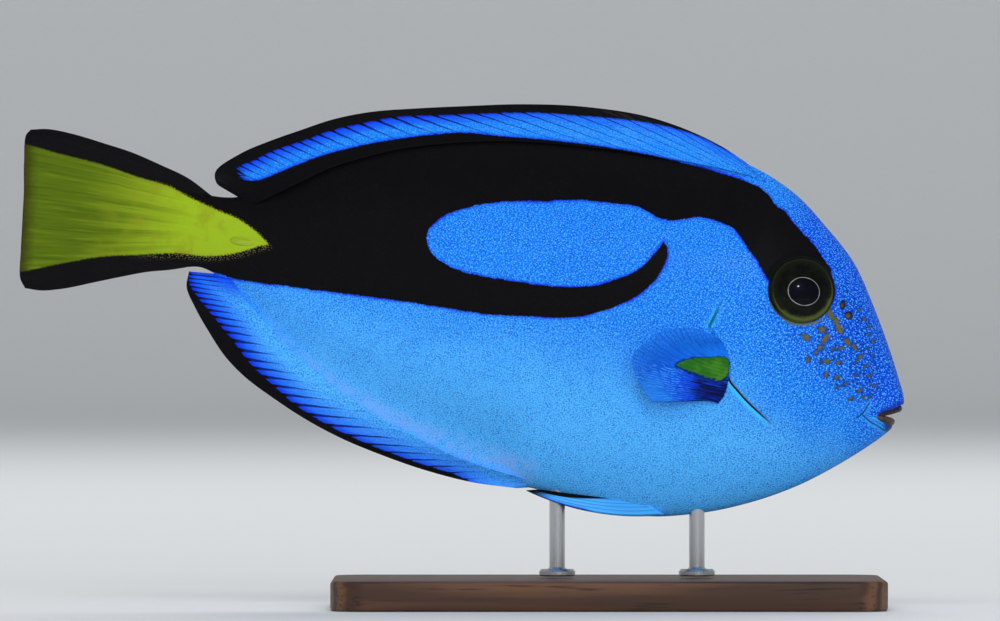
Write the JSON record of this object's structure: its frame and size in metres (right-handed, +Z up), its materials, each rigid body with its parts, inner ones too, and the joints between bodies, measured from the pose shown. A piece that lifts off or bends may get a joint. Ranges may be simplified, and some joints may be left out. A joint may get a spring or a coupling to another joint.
{
  "type": "regal blue tang",
  "caption": "Still life-size model of a regal blue tang, a deep flat reef fish swimming nose down, on a flat base with short rods.",
  "frame": {"origin": "centre of the underside of the stand's base", "axes": "+X along the fish towards its snout, +Z up, +Y to the fish's left"},
  "size_m": [0.1473, 0.054, 0.084],
  "materials": {
    "skin": "moist scaled skin, vivid blue with a black palette mark and a yellow tail stalk",
    "lips": "moist dark brown lips",
    "eyes": "clear wet cornea over a near-black green iris with a thin pale pupil ring",
    "fins": "thin rayed membrane, blue with dark rays and a black margin",
    "tail_fin": "thin rayed membrane, yellow with black upper and lower margins",
    "spines": "smooth yellowish horn",
    "base_wood": "satin dark walnut",
    "rod_steel": "fine brushed steel"
  },
  "bodies": {
    "root": {"head": "skin", "trunk": "skin", "tail_stalk": "skin", "gill_cover_right": "skin", "gill_cover_left": "skin", "upper_lip": "lips", "lower_lip": "lips", "eye_right": "eyes", "eye_left": "eyes", "dorsal_fin": "fins", "anal_fin": "fins", "caudal_fin": "tail_fin", "pectoral_fin_right": "fins", "pectoral_fin_left": "fins", "pelvic_fin_right": "fins", "pelvic_fin_left": "fins", "caudal_spine_right": "spines", "caudal_spine_left": "spines", "stand_base": "base_wood", "stand_rod_front": "rod_steel", "stand_rod_rear": "rod_steel"}
  },
  "joints": []
}
